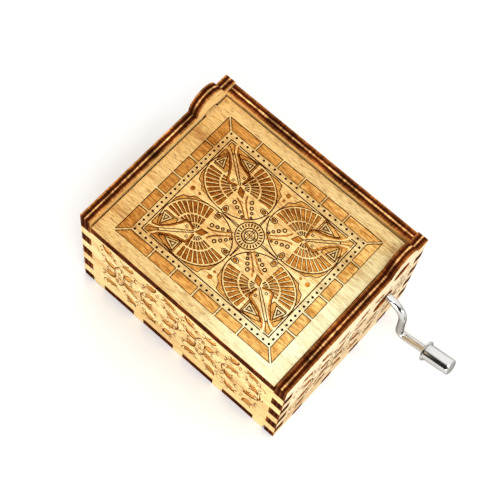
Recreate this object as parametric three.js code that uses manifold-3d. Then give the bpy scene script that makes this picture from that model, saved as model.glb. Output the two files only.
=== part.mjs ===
// Hand crank music box: a finger-jointed plywood case with a hinged lid, and inside it an
// 18-note comb movement that a bent wire crank turns through a worm and wheel.
// Millimetres, +Z up, +X towards the crank side, -Y towards the front.
// The origin is the centre of the case's footprint, on the surface that the case stands on.

import * as THREE from 'three';
import * as BufferGeometryUtils from 'three/addons/utils/BufferGeometryUtils.js';
import Module from 'manifold-3d';

const wasm = await Module();
wasm.setup();

// ---- driving dimensions -------------------------------------------------------------------

// Case
const CASE_WIDTH = 64;
const CASE_DEPTH = 51.2;
const BOARD = 3.1;
const KERF = 0.04;
const FRONT_TOP = 31.9;
const BACK_TOP = 36.5;
const SIDE_TOP = 37.2;
const FINGER_TOP = 31.2;
const FINGER_COUNT = 7;
const LEG_PITCH = 13.35;
const LEG_WIDTH = 3.5;
const SIDE_TAB_PITCH = 11;
const SIDE_TAB_WIDTH = 3.4;

// Lid and its pivots
const LID_BOTTOM = 32;
const LID_SIDE_GAP = 0.4;
const LID_BACK_GAP = 0.4;
const PIVOT_Y = 16.6;
const PIVOT_TAB_DEPTH = 4;
const PIVOT_TAB_LENGTH = 2.9;
const PIVOT_HOLE_RADIUS = 2.75;
const EAR_RADIUS = 4.8;

// Crank, worm and wheel
const CRANK_Y = 13.6;
const CRANK_Z = 22.95;
const CRANK_HOLE_Y = 12.1;
const CRANK_HOLE_Z = 22.4;
const CRANK_HOLE_RADIUS = 3.5;
const WIRE_RADIUS = 1.05;
const FIRST_BEND_RADIUS = 5.85;
const FIRST_BEND_ANGLE = THREE.MathUtils.degToRad(85.8);
const ARM_LENGTH = 6.65;
const ARM_X = 38.1;
const SECOND_BEND_RADIUS = 1.6;
const PIN_TILT = THREE.MathUtils.degToRad(15.9);
const PIN_LENGTH = 13.2;
const KNOB_START = 6.5;
const KNOB_LENGTH = 7.9;
const KNOB_RADIUS = 2.15;
const KNOB_FLANGE_RADIUS = 2.75;

const WHEEL_TEETH = 20;
const WHEEL_PITCH_RADIUS = 6.45;
const WORM_PITCH_RADIUS = 2.9;
const WORM_LENGTH = 13;
const WHEEL_WIDTH = 3;

// Cylinder and comb
const CYLINDER_X = 8;
const CYLINDER_Z = CRANK_Z - WORM_PITCH_RADIUS - WHEEL_PITCH_RADIUS;
const CYLINDER_RADIUS = 6.5;
const CYLINDER_HALF_LENGTH = 9.4;
const PIN_HEIGHT = 0.55;
const PIN_WIDTH = 0.4;
const ARBOR_RADIUS = 1;
const NOTE_COUNT = 18;
const NOTE_PITCH = 1;
const TOOTH_WIDTH = 0.78;
const COMB_THICKNESS = 1;
const COMB_HEEL_X = -22;

// Bedplate
const PLATE_BOTTOM = 4.6;
const PLATE_TOP = 6.2;
const PLATE_MIN_X = -24;
const PLATE_MAX_X = 21;
const PLATE_MIN_Y = -17.5;
const PLATE_MAX_Y = 21.4;
const POST_HALF_WIDTH = 2.6;
const POST_THICKNESS = 2;
const LEDGE_MAX_X = -14;
const LEDGE_HALF_Y = 10.4;
const MOUNT_POINTS = [[-19.5, -13.5], [-19.5, 17], [16, -13.5]];

// Arbor brackets
const BRACKET_THICKNESS = 1;
const BRACKET_HALF_WIDTH = 3.2;
const BRACKET_FOOT = 4.6;
const FRONT_BRACKET_Y = -12;
const BACK_BRACKET_Y = 16.7;

// Screws: shank and head radii
const MOUNT_SCREW = { shank: 1.2, head: 2.75 };
const COMB_SCREW = { shank: 1, head: 2.1 };
const BRACKET_SCREW = { shank: 0.8, head: 1.5 };

// Clearances between pieces
const RUNNING_GAP = 0.2;
const FIT_GAP = 0.15;

// ---- worked-out dimensions ----------------------------------------------------------------

const HALF_WIDTH = CASE_WIDTH / 2;
const HALF_DEPTH = CASE_DEPTH / 2;
const INNER_X = HALF_WIDTH - BOARD;
const INNER_Y = HALF_DEPTH - BOARD;
const PIVOT_Z = LID_BOTTOM + BOARD / 2;
const FINGER_PITCH = (FINGER_TOP - BOARD) / FINGER_COUNT;
const TOOTH_TIP_X = CYLINDER_X - CYLINDER_RADIUS - PIN_HEIGHT - FIT_GAP;
const COMB_BOTTOM = CYLINDER_Z - COMB_THICKNESS / 2;
const WORM_LEAD = 2 * Math.PI * WHEEL_PITCH_RADIUS / WHEEL_TEETH;
const WORM_LEAD_ANGLE = Math.atan(WORM_LEAD / (2 * Math.PI * WORM_PITCH_RADIUS));

const COMB_SCREW_X = (COMB_HEEL_X + LEDGE_MAX_X) / 2;
const COMB_SCREW_Y = 6.5;
const INNER_POST_X = CYLINDER_X - 7.8 - POST_THICKNESS;
const OUTER_POST_X = CYLINDER_X + 7.8;

// ---- materials ----------------------------------------------------------------------------

function material(color, roughness, metalness) {
  return new THREE.MeshStandardMaterial({ color, roughness, metalness });
}

const plywood = material(0xdcb06a, 0.65, 0);
const nickel = material(0xd8d8d6, 0.15, 1);
const springSteel = material(0xb9bcc0, 0.3, 1);
const castZinc = material(0xa9a9a6, 0.45, 0.9);
const brass = material(0xc9a04a, 0.3, 1);
const nylon = material(0xe9e6dc, 0.5, 0);
const resin = material(0x4a2e1a, 0.6, 0);

// ---- shape helpers ------------------------------------------------------------------------

// Merges a closed geometry's shared vertices and makes a solid of it for a boolean.
function solidOf(geometry) {
  const bare = geometry.clone();
  bare.deleteAttribute('normal');
  bare.deleteAttribute('uv');
  const merged = BufferGeometryUtils.mergeVertices(bare, 1e-5);
  return new wasm.Manifold(new wasm.Mesh({
    numProp: 3,
    vertProperties: new Float32Array(merged.attributes.position.array),
    triVerts: new Uint32Array(merged.index.array),
  }));
}

function geometryOf(solid) {
  const mesh = solid.getMesh();
  const geometry = new THREE.BufferGeometry();
  geometry.setAttribute('position', new THREE.BufferAttribute(mesh.vertProperties, 3));
  geometry.setIndex(new THREE.BufferAttribute(mesh.triVerts, 1));
  geometry.computeVertexNormals();
  return geometry;
}

function join(first, ...others) {
  return geometryOf(others.reduce((sum, other) => sum.add(solidOf(other)), solidOf(first)));
}

function cut(first, ...others) {
  return geometryOf(others.reduce((rest, other) => rest.subtract(solidOf(other)), solidOf(first)));
}

function outline(points) {
  return new THREE.Shape(points.map(([x, y]) => new THREE.Vector2(x, y)));
}

function addHole(shape, x, y, radius) {
  const hole = new THREE.Path();
  hole.absarc(x, y, radius, 0, 2 * Math.PI, true);
  shape.holes.push(hole);
}

// An outline drawn in X and Y, raised along Z.
function plateZ(shape, bottom, thickness, curveSegments = 16) {
  const options = { depth: thickness, bevelEnabled: false, curveSegments };
  return new THREE.ExtrudeGeometry(shape, options).translate(0, 0, bottom);
}

// An outline drawn in X and Z, from y = near back along Y.
function plateY(shape, near, thickness, curveSegments = 16) {
  return plateZ(shape, 0, thickness, curveSegments)
    .rotateX(Math.PI / 2).translate(0, near + thickness, 0);
}

// An outline drawn in Y and Z, from x = left along X.
function plateX(shape, left, thickness, curveSegments = 16) {
  return plateZ(shape, 0, thickness, curveSegments)
    .rotateY(Math.PI / 2).rotateX(Math.PI / 2).translate(left, 0, 0);
}

function block(low, high) {
  const size = high.map((value, axis) => value - low[axis]);
  const middle = high.map((value, axis) => (value + low[axis]) / 2);
  return new THREE.BoxGeometry(...size).translate(...middle);
}

// A turned shape: the profile lists [radius, height] from the bottom axis point to the top one.
function turned(profile, segments = 24) {
  const points = profile.map(([radius, height]) => new THREE.Vector2(radius, height));
  return new THREE.LatheGeometry(points, segments).rotateX(Math.PI / 2);
}

// A turned ring: the profile goes round the section once and closes on itself.
function ring(innerRadius, outerRadius, bottom, height, segments = 24) {
  return turned([
    [innerRadius, bottom], [outerRadius, bottom], [outerRadius, bottom + height],
    [innerRadius, bottom + height], [innerRadius, bottom],
  ], segments);
}

function rod(radius, bottom, height, segments = 24) {
  return turned([[0, bottom], [radius, bottom], [radius, bottom + height], [0, bottom + height]],
    segments);
}

function alongX(geometry, y, z) {
  return geometry.rotateY(Math.PI / 2).translate(0, y, z);
}

function alongY(geometry, x, z) {
  return geometry.rotateX(-Math.PI / 2).translate(x, 0, z);
}

function piece(name, geometry, look) {
  const mesh = new THREE.Mesh(geometry, look);
  mesh.name = name;
  return mesh;
}

// ---- case boards --------------------------------------------------------------------------

// The bottom board's tabs fill the spans between the legs of the front and back boards.
function legSpans() {
  return [-2, -1, 0, 1, 2].map((step) => {
    const low = Math.max(step * LEG_PITCH - LEG_WIDTH / 2, -INNER_X);
    const high = Math.min(step * LEG_PITCH + LEG_WIDTH / 2, INNER_X);
    return [low, high];
  });
}

function frontTabSpans() {
  const legs = legSpans();
  return legs.slice(1).map((leg, index) => [legs[index][1], leg[0]]);
}

function sideTabSpans() {
  return [-1.5, -0.5, 0.5, 1.5].map((step) => {
    const middle = step * SIDE_TAB_PITCH;
    return [middle - SIDE_TAB_WIDTH / 2, middle + SIDE_TAB_WIDTH / 2];
  });
}

// One upright board edge from bottom to top: even fingers reach far, odd ones stay near.
function fingerEdge(near, far, top) {
  const points = [];
  for (let index = 0; index < FINGER_COUNT; index += 2) {
    const low = BOARD + index * FINGER_PITCH + KERF;
    const high = BOARD + (index + 1) * FINGER_PITCH - KERF;
    points.push([near, low], [far, low], [far, high], [near, high]);
  }
  points.push([near, top]);
  return points;
}

function mirrored(points) {
  return points.map(([across, up]) => [-across, up]).reverse();
}

// Front and back boards: feet between the bottom board's tabs, fingers at both ends.
function endBoardOutline(top) {
  const feet = [];
  for (const [low, high] of legSpans()) {
    const left = Math.max(low + KERF, -INNER_X + KERF);
    const right = Math.min(high - KERF, INNER_X - KERF);
    feet.push([left, BOARD], [left, 0], [right, 0], [right, BOARD]);
  }
  const edge = fingerEdge(INNER_X - KERF, HALF_WIDTH, top);
  return outline([...feet.slice(1, -1), ...edge, ...mirrored(edge)]);
}

function frontPanel() {
  return plateY(endBoardOutline(FRONT_TOP), -HALF_DEPTH, BOARD);
}

function backPanel() {
  return plateY(endBoardOutline(BACK_TOP), INNER_Y, BOARD);
}

// Side boards: odd fingers reach the corners, slots below take the bottom board's tabs,
// and a half-round ear near the back holds the lid's pivot hole.
function sideBoardShape() {
  const slots = [];
  for (const [low, high] of sideTabSpans()) {
    slots.push([low - KERF, 0], [low - KERF, BOARD + KERF]);
    slots.push([high + KERF, BOARD + KERF], [high + KERF, 0]);
  }
  const backEdge = [[HALF_DEPTH, 0]];
  for (let index = 0; index < FINGER_COUNT; index += 2) {
    const low = BOARD + index * FINGER_PITCH;
    const high = low + FINGER_PITCH;
    backEdge.push([HALF_DEPTH, low], [INNER_Y, low], [INNER_Y, high], [HALF_DEPTH, high]);
  }
  backEdge.push([HALF_DEPTH, SIDE_TOP]);
  const shape = outline([...slots, ...backEdge]);
  shape.absarc(PIVOT_Y, SIDE_TOP, EAR_RADIUS, 0, Math.PI, false);
  for (const [y, z] of mirrored(backEdge)) {
    shape.lineTo(y, z);
  }
  addHole(shape, PIVOT_Y, PIVOT_Z, PIVOT_HOLE_RADIUS);
  return shape;
}

function leftPanel() {
  return plateX(sideBoardShape(), -HALF_WIDTH, BOARD);
}

function rightPanel() {
  const shape = sideBoardShape();
  addHole(shape, CRANK_HOLE_Y, CRANK_HOLE_Z, CRANK_HOLE_RADIUS);
  return plateX(shape, INNER_X, BOARD);
}

// The bottom board, with countersunk holes for the movement's three screws.
function bottomPanel() {
  const right = [];
  for (const [low, high] of sideTabSpans()) {
    right.push([INNER_X - KERF, low], [HALF_WIDTH, low], [HALF_WIDTH, high], [INNER_X - KERF, high]);
  }
  const back = [];
  for (const [low, high] of frontTabSpans().reverse()) {
    back.push([high, INNER_Y - KERF], [high, HALF_DEPTH], [low, HALF_DEPTH], [low, INNER_Y - KERF]);
  }
  const turnedRound = (points) => points.map(([x, y]) => [-x, -y]);
  const corner = [INNER_X - KERF, INNER_Y - KERF];
  const shape = outline([
    ...right, corner, ...back, [-corner[0], corner[1]],
    ...turnedRound(right), [-corner[0], -corner[1]], ...turnedRound(back), [corner[0], -corner[1]],
  ]);
  const sinks = MOUNT_POINTS.map(([x, y]) => turned([
    [0, -1], [MOUNT_SCREW.head + FIT_GAP, -1], [MOUNT_SCREW.head + FIT_GAP, 0.2],
    [MOUNT_SCREW.shank + FIT_GAP, 1.75], [MOUNT_SCREW.shank + FIT_GAP, BOARD + 1], [0, BOARD + 1],
  ]).translate(x, y, 0));
  return cut(plateZ(shape, 0, BOARD), ...sinks);
}

// The lid rests on the front board and turns on two tabs in the side boards' ears.
function lidBoard() {
  const half = INNER_X - LID_SIDE_GAP;
  const tab = INNER_X + PIVOT_TAB_LENGTH;
  const low = PIVOT_Y - PIVOT_TAB_DEPTH / 2;
  const high = PIVOT_Y + PIVOT_TAB_DEPTH / 2;
  const back = INNER_Y - LID_BACK_GAP;
  const right = [[half, -HALF_DEPTH], [half, low], [tab, low], [tab, high], [half, high], [half, back]];
  return plateZ(outline([...right, ...mirrored(right)]), LID_BOTTOM, BOARD);
}

// ---- movement frame -----------------------------------------------------------------------

// An upright strip with a half-round top, drawn about the centre of its top.
function uprightShape(halfWidth, bottom, middle) {
  const shape = outline([[-halfWidth, bottom], [halfWidth, bottom], [halfWidth, middle]]);
  shape.absarc(0, middle, halfWidth, 0, Math.PI, false);
  return shape;
}

// Where the screw stands in an arbor bracket's foot; side is -1 at the front and 1 at the back.
function bracketScrewY(side) {
  const reach = BRACKET_FOOT / 2 + 0.3;
  return side < 0 ? FRONT_BRACKET_Y - reach : BACK_BRACKET_Y + reach;
}

// Cast bedplate: a plate with a window under the cylinder and wheel, three feet, the comb's
// ledge and the two posts that carry the crank.
function bedplate() {
  const shape = outline([
    [PLATE_MIN_X, PLATE_MIN_Y], [PLATE_MAX_X, PLATE_MIN_Y],
    [PLATE_MAX_X, PLATE_MAX_Y], [PLATE_MIN_X, PLATE_MAX_Y],
  ]);
  const window = new THREE.Path([
    [CYLINDER_X - 5.2, -10], [CYLINDER_X - 5.2, 15.6],
    [CYLINDER_X + 5.2, 15.6], [CYLINDER_X + 5.2, -10],
  ].map(([x, y]) => new THREE.Vector2(x, y)));
  shape.holes.push(window);
  const plate = plateZ(shape, PLATE_BOTTOM, PLATE_TOP - PLATE_BOTTOM);
  const feet = MOUNT_POINTS.map(([x, y]) => rod(3.2, BOARD, PLATE_BOTTOM - BOARD + 0.5, 20)
    .translate(x, y, 0));
  const ledge = block([COMB_HEEL_X - 0.6, -LEDGE_HALF_Y, PLATE_TOP - 0.5],
    [LEDGE_MAX_X, LEDGE_HALF_Y, COMB_BOTTOM]);
  const postShape = uprightShape(POST_HALF_WIDTH, PLATE_TOP - 0.5, CRANK_Z);
  const posts = [INNER_POST_X, OUTER_POST_X].map((x) => plateX(postShape, x, POST_THICKNESS)
    .translate(0, CRANK_Y, 0));
  const body = join(plate, ...feet, ledge, ...posts);
  const mountHoles = MOUNT_POINTS.map(([x, y]) => rod(MOUNT_SCREW.shank + FIT_GAP, 0, 10, 20)
    .translate(x, y, 0));
  const combHoles = [-COMB_SCREW_Y, COMB_SCREW_Y].map((y) => rod(COMB_SCREW.shank + FIT_GAP, 8, 8, 20)
    .translate(COMB_SCREW_X, y, 0));
  const bushHoles = [INNER_POST_X, OUTER_POST_X].map((x) => alongX(
    rod(1.9 + FIT_GAP, x - 1, POST_THICKNESS + 2), CRANK_Y, CRANK_Z));
  const bracketHoles = [-1, 1].map((side) => rod(BRACKET_SCREW.shank + FIT_GAP, 0, 10, 20)
    .translate(CYLINDER_X, bracketScrewY(side), 0));
  return cut(body, ...mountHoles, ...combHoles, ...bushHoles, ...bracketHoles);
}

// A bent strip with one end standing round the arbor and its foot screwed to the bedplate.
function arborBracket(nearY, side) {
  const standing = uprightShape(BRACKET_HALF_WIDTH, PLATE_TOP, CYLINDER_Z);
  addHole(standing, 0, CYLINDER_Z, ARBOR_RADIUS + RUNNING_GAP);
  const upright = plateY(standing, nearY, BRACKET_THICKNESS).translate(CYLINDER_X, 0, 0);
  const middleY = nearY + BRACKET_THICKNESS / 2;
  const footEndY = side < 0 ? nearY + BRACKET_THICKNESS - BRACKET_FOOT : nearY + BRACKET_FOOT;
  const foot = block(
    [CYLINDER_X - BRACKET_HALF_WIDTH, Math.min(middleY, footEndY), PLATE_TOP],
    [CYLINDER_X + BRACKET_HALF_WIDTH, Math.max(middleY, footEndY), PLATE_TOP + BRACKET_THICKNESS],
  );
  const hole = rod(BRACKET_SCREW.shank + FIT_GAP, PLATE_TOP - 1, 4, 20)
    .translate(CYLINDER_X, bracketScrewY(side), 0);
  return cut(join(upright, foot), hole);
}

// Cheese-head screw standing along Z with a slot across its head.
function slottedScrew({ shank, head }, shankBottom, headBottom, headHeight) {
  const top = headBottom + headHeight;
  const screw = turned([
    [0, shankBottom], [shank, shankBottom], [shank, headBottom], [head, headBottom],
    [head, top - headHeight * 0.3], [head * 0.85, top], [0, top],
  ]);
  const slot = block([-head * 1.5, -head * 0.13, top - headHeight * 0.45],
    [head * 1.5, head * 0.13, top + 1]);
  return cut(screw, slot);
}

// Countersunk screw driven up through the bottom board into a bedplate foot.
function mountScrew() {
  const { shank, head } = MOUNT_SCREW;
  const end = PLATE_TOP - 0.3;
  const screw = turned([[0, 0.2], [head, 0.2], [shank, 1.75], [shank, end], [0, end]]);
  const bar = (halfX, halfY) => block([-halfX, -halfY, -1], [halfX, halfY, 1]);
  return cut(screw, bar(1.5, 0.28), bar(0.28, 1.5));
}

// Brass bush pressed into a post, with its flange towards the worm.
function crankBush(postX, flangeSide) {
  const length = POST_THICKNESS + 0.5;
  const barrel = ring(WIRE_RADIUS + RUNNING_GAP, 1.9, 0, length, 20);
  const flange = ring(WIRE_RADIUS + RUNNING_GAP, 2.6, 0, 0.45, 20);
  const bush = join(barrel, flange);
  if (flangeSide < 0) {
    return alongX(bush.translate(0, 0, postX - 0.5), CRANK_Y, CRANK_Z);
  }
  return alongX(bush.rotateX(Math.PI).translate(0, 0, postX + length), CRANK_Y, CRANK_Z);
}

// ---- comb ---------------------------------------------------------------------------------

// Steel comb: 18 teeth that get shorter from the bass end at the front to the treble end,
// the longest ones weighted underneath near their tips.
function comb() {
  const points = [[COMB_HEEL_X, -LEDGE_HALF_Y + 0.2]];
  for (let note = 0; note < NOTE_COUNT; note += 1) {
    const middle = (note - (NOTE_COUNT - 1) / 2) * NOTE_PITCH;
    const root = -13 + 5 * note / (NOTE_COUNT - 1);
    const low = middle - TOOTH_WIDTH / 2;
    const high = middle + TOOTH_WIDTH / 2;
    if (note === 0) {
      points.push([root, -LEDGE_HALF_Y + 0.2]);
    }
    points.push([root, low], [TOOTH_TIP_X, low + 0.15], [TOOTH_TIP_X, high - 0.15], [root, high]);
  }
  points.push([-8, LEDGE_HALF_Y - 0.2], [COMB_HEEL_X, LEDGE_HALF_Y - 0.2]);
  const shape = outline(points);
  addHole(shape, COMB_SCREW_X, -COMB_SCREW_Y, COMB_SCREW.shank + FIT_GAP);
  addHole(shape, COMB_SCREW_X, COMB_SCREW_Y, COMB_SCREW.shank + FIT_GAP);
  const plate = plateZ(shape, COMB_BOTTOM, COMB_THICKNESS);
  const weights = [];
  for (let note = 0; note < 8; note += 1) {
    const middle = (note - (NOTE_COUNT - 1) / 2) * NOTE_PITCH;
    const length = 5 - 0.35 * note;
    const depth = 1.7 - 0.12 * note;
    weights.push(block([TOOTH_TIP_X - 1.6 - length, middle - 0.3, COMB_BOTTOM - depth],
      [TOOTH_TIP_X - 1.6, middle + 0.3, COMB_BOTTOM + 0.3]));
  }
  return join(plate, ...weights);
}

// ---- cylinder group -----------------------------------------------------------------------

// Brass tube with a pin wherever a tooth is plucked. The notes climb and fall in even steps.
function pinnedCylinder() {
  const tube = ring(CYLINDER_RADIUS - 0.6, CYLINDER_RADIUS,
    -CYLINDER_HALF_LENGTH, 2 * CYLINDER_HALF_LENGTH, 48);
  const pins = [];
  const pinsPerNote = 4;
  const stepAngle = 2 * Math.PI / (NOTE_COUNT * pinsPerNote);
  for (let note = 0; note < NOTE_COUNT; note += 1) {
    const along = (note - (NOTE_COUNT - 1) / 2) * NOTE_PITCH;
    for (let beat = 0; beat < pinsPerNote; beat += 1) {
      const turn = ((note * 7) % NOTE_COUNT + beat * NOTE_COUNT) * stepAngle;
      const pin = block([CYLINDER_RADIUS - 0.3, -PIN_WIDTH / 2, along - PIN_WIDTH / 2],
        [CYLINDER_RADIUS + PIN_HEIGHT, PIN_WIDTH / 2, along + PIN_WIDTH / 2]);
      pins.push(pin.rotateZ(turn));
    }
  }
  return alongY(join(tube, ...pins), CYLINDER_X, CYLINDER_Z);
}

function cylinderFilling() {
  const half = CYLINDER_HALF_LENGTH - 1.5;
  const filling = ring(ARBOR_RADIUS + FIT_GAP, CYLINDER_RADIUS - 0.6 - FIT_GAP, -half, 2 * half, 32);
  return alongY(filling, CYLINDER_X, CYLINDER_Z);
}

function cylinderCap(side) {
  const inner = CYLINDER_HALF_LENGTH - 1.3;
  const cap = join(
    ring(ARBOR_RADIUS + FIT_GAP, CYLINDER_RADIUS - 0.6 - FIT_GAP, inner, 1.3, 32),
    ring(ARBOR_RADIUS + FIT_GAP, 2.4, inner, 1.6, 32),
  );
  if (side < 0) {
    cap.rotateX(Math.PI);
  }
  return alongY(cap, CYLINDER_X, CYLINDER_Z);
}

function arbor() {
  const start = FRONT_BRACKET_Y - 0.9;
  const end = BACK_BRACKET_Y + BRACKET_THICKNESS + 0.9;
  const shaft = turned([
    [0, start], [ARBOR_RADIUS - 0.25, start], [ARBOR_RADIUS, start + 0.25],
    [ARBOR_RADIUS, end - 0.25], [ARBOR_RADIUS - 0.25, end], [0, end],
  ]);
  return alongY(shaft, CYLINDER_X, CYLINDER_Z);
}

// Straight-sided wheel teeth, twisted by the worm's lead angle across the wheel's width.
function wormWheel() {
  const root = WHEEL_PITCH_RADIUS - 0.8;
  const tip = WHEEL_PITCH_RADIUS + 0.55;
  const toothAngle = 2 * Math.PI / WHEEL_TEETH;
  const points = [];
  for (let tooth = 0; tooth < WHEEL_TEETH; tooth += 1) {
    for (const [share, radius] of [[-0.28, root], [-0.11, tip], [0.11, tip], [0.28, root]]) {
      const angle = Math.PI / 2 + (tooth + share) * toothAngle;
      points.push([radius * Math.cos(angle), radius * Math.sin(angle)]);
    }
  }
  const shape = outline(points);
  const options = { depth: WHEEL_WIDTH, steps: 3, bevelEnabled: false };
  const rim = new THREE.ExtrudeGeometry(shape, options);
  const place = rim.attributes.position;
  const point = new THREE.Vector3();
  for (let index = 0; index < place.count; index += 1) {
    point.fromBufferAttribute(place, index);
    const offset = point.z - WHEEL_WIDTH / 2;
    const twist = Math.tan(WORM_LEAD_ANGLE) * offset / WHEEL_PITCH_RADIUS;
    point.applyAxisAngle(new THREE.Vector3(0, 0, 1), twist);
    place.setXYZ(index, point.x, point.y, point.z);
  }
  const hubBottom = CYLINDER_HALF_LENGTH + 0.6 - (CRANK_Y - WHEEL_WIDTH / 2);
  const hub = rod(2.6, hubBottom, WHEEL_WIDTH - hubBottom + 0.4);
  const bore = rod(ARBOR_RADIUS + FIT_GAP, hubBottom - 1, WHEEL_WIDTH - hubBottom + 4);
  const wheel = cut(join(rim, hub), bore);
  return wheel.rotateX(-Math.PI / 2).rotateY(Math.PI)
    .translate(CYLINDER_X, CRANK_Y - WHEEL_WIDTH / 2, CYLINDER_Z);
}

// ---- crank group --------------------------------------------------------------------------

// Right-hand worm: a cylinder whose radius follows the thread, phased so that a gap between
// two threads faces the wheel's top tooth.
function worm() {
  const rootRadius = WORM_PITCH_RADIUS - 0.75;
  const crestRadius = WORM_PITCH_RADIUS + 0.55;
  const around = 20;
  const perLead = 8;
  const rows = Math.round(WORM_LENGTH / WORM_LEAD * perLead);
  const blank = new THREE.CylinderGeometry(1, 1, WORM_LENGTH, around, rows).rotateZ(-Math.PI / 2);
  const place = blank.attributes.position;
  for (let index = 0; index < place.count; index += 1) {
    const x = place.getX(index);
    const y = place.getY(index);
    const z = place.getZ(index);
    const distance = Math.hypot(y, z);
    if (distance > 0.5) {
      const turn = (Math.atan2(z, y) + Math.PI / 2) / (2 * Math.PI);
      const phase = THREE.MathUtils.euclideanModulo(x / WORM_LEAD - turn, 1);
      const fromCrest = Math.abs(phase - 0.5);
      const share = THREE.MathUtils.clamp((0.29 - fromCrest) / 0.17, 0, 1);
      const radius = rootRadius + (crestRadius - rootRadius) * share;
      place.setXYZ(index, x, y / distance * radius, z / distance * radius);
    }
  }
  const bore = rod(WIRE_RADIUS + FIT_GAP, -WORM_LENGTH, 2 * WORM_LENGTH).rotateY(Math.PI / 2);
  return cut(blank, bore).translate(CYLINDER_X, CRANK_Y, CRANK_Z);
}

// Centre line of the crank wire from its inner end to a given length along the pin.
class CrankLine extends THREE.Curve {
  constructor(startX, pinLength) {
    super();
    const bendStartX = ARM_X - FIRST_BEND_RADIUS;
    this.start = new THREE.Vector2(startX, 0);
    this.lengths = [
      bendStartX - startX,
      FIRST_BEND_RADIUS * FIRST_BEND_ANGLE,
      ARM_LENGTH,
      SECOND_BEND_RADIUS * (FIRST_BEND_ANGLE + PIN_TILT),
      pinLength,
    ];
    this.curvatures = [0, -1 / FIRST_BEND_RADIUS, 0, 1 / SECOND_BEND_RADIUS, 0];
    this.total = this.lengths.reduce((sum, length) => sum + length, 0);
  }

  // Walks the straights and arcs; heading 0 is along +X and negative headings point down.
  place(distance) {
    let left = distance;
    let heading = 0;
    const point = this.start.clone();
    for (let part = 0; part < this.lengths.length && left > 0; part += 1) {
      const step = Math.min(left, this.lengths[part]);
      const bend = this.curvatures[part] * step;
      const chord = bend === 0 ? step : 2 * Math.sin(bend / 2) / this.curvatures[part];
      point.x += chord * Math.cos(heading + bend / 2);
      point.y += chord * Math.sin(heading + bend / 2);
      heading += bend;
      left -= step;
    }
    return { point, heading };
  }

  getPoint(share, target = new THREE.Vector3()) {
    const { point } = this.place(share * this.total);
    return target.set(point.x, 0, point.y);
  }
}

const PIN_ROOT = (() => {
  const line = new CrankLine(0, 0);
  return line.place(line.total).point;
})();

// The wire, with a swaged head on its pin that keeps the knob on.
function crankWire() {
  const line = new CrankLine(INNER_POST_X - 1.2, PIN_LENGTH);
  const circle = new THREE.Shape();
  circle.absarc(0, 0, WIRE_RADIUS, 0, 2 * Math.PI, false);
  const options = { steps: 80, curveSegments: 6, extrudePath: line, bevelEnabled: false };
  const wire = new THREE.ExtrudeGeometry(circle, options);
  const head = alongPin(rod(1.5, PIN_LENGTH - 0.8, 0.9));
  return join(wire, head).translate(0, CRANK_Y, CRANK_Z);
}

// Turns a shape built along Z so that it lies along the pin, measured from the pin's root.
function alongPin(geometry) {
  return geometry.rotateY(Math.PI / 2 - PIN_TILT).translate(PIN_ROOT.x, 0, PIN_ROOT.y);
}

// A drawn metal knob: a thin flange at its open end, hollow behind a narrow mouth.
function knob() {
  const end = KNOB_START + KNOB_LENGTH;
  const mouth = WIRE_RADIUS + RUNNING_GAP;
  const hollow = 1.5 + RUNNING_GAP;
  const shell = turned([
    [mouth, KNOB_START], [KNOB_FLANGE_RADIUS, KNOB_START], [KNOB_FLANGE_RADIUS, KNOB_START + 0.4],
    [KNOB_RADIUS, KNOB_START + 0.4], [KNOB_RADIUS, end - 0.4], [KNOB_RADIUS - 0.12, end - 0.12],
    [KNOB_RADIUS - 0.4, end], [0, end], [0, end - 0.8], [hollow, end - 0.8],
    [hollow, KNOB_START + 4.8], [mouth, KNOB_START + 4.5], [mouth, KNOB_START],
  ], 28);
  return alongPin(shell).translate(0, CRANK_Y, CRANK_Z);
}

// Open ring clipped on the wire outside the outer post.
function crankClip() {
  const clip = ring(WIRE_RADIUS + FIT_GAP, 2.3, 0, 0.5, 24);
  const gap = block([-0.6, 0, -1], [0.6, 4, 2]);
  return alongX(cut(clip, gap).translate(0, 0, OUTER_POST_X + POST_THICKNESS + 0.5), CRANK_Y, CRANK_Z);
}

// ---- assembly -----------------------------------------------------------------------------

const caseGroup = new THREE.Group();
caseGroup.add(
  piece('front_panel', frontPanel(), plywood),
  piece('back_panel', backPanel(), plywood),
  piece('left_panel', leftPanel(), plywood),
  piece('right_panel', rightPanel(), plywood),
  piece('bottom_panel', bottomPanel(), plywood),
  piece('lid', lidBoard(), plywood),
);

const frameGroup = new THREE.Group();
frameGroup.add(
  piece('bedplate', bedplate(), castZinc),
  piece('comb', comb(), springSteel),
  piece('front_arbor_bracket', arborBracket(FRONT_BRACKET_Y, -1), springSteel),
  piece('back_arbor_bracket', arborBracket(BACK_BRACKET_Y, 1), springSteel),
  piece('inner_crank_bush', crankBush(INNER_POST_X, 1), brass),
  piece('outer_crank_bush', crankBush(OUTER_POST_X, -1), brass),
);
['front', 'back'].forEach((end, index) => {
  const side = index === 0 ? -1 : 1;
  const combTop = COMB_BOTTOM + COMB_THICKNESS;
  const combScrew = piece(`${end}_comb_screw`,
    slottedScrew(COMB_SCREW, 8.6, combTop, 1.3), nickel);
  combScrew.position.set(COMB_SCREW_X, side * COMB_SCREW_Y, 0);
  combScrew.rotation.z = 0.5 * side;
  const bracketScrew = piece(`${end}_bracket_screw`,
    slottedScrew(BRACKET_SCREW, PLATE_BOTTOM, PLATE_TOP + BRACKET_THICKNESS, 0.9), nickel);
  bracketScrew.position.set(CYLINDER_X, bracketScrewY(side), 0);
  frameGroup.add(combScrew, bracketScrew);
});
MOUNT_POINTS.forEach(([x, y], index) => {
  const screw = piece(`mount_screw_${index + 1}`, mountScrew(), nickel);
  screw.position.set(x, y, 0);
  frameGroup.add(screw);
});

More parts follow.
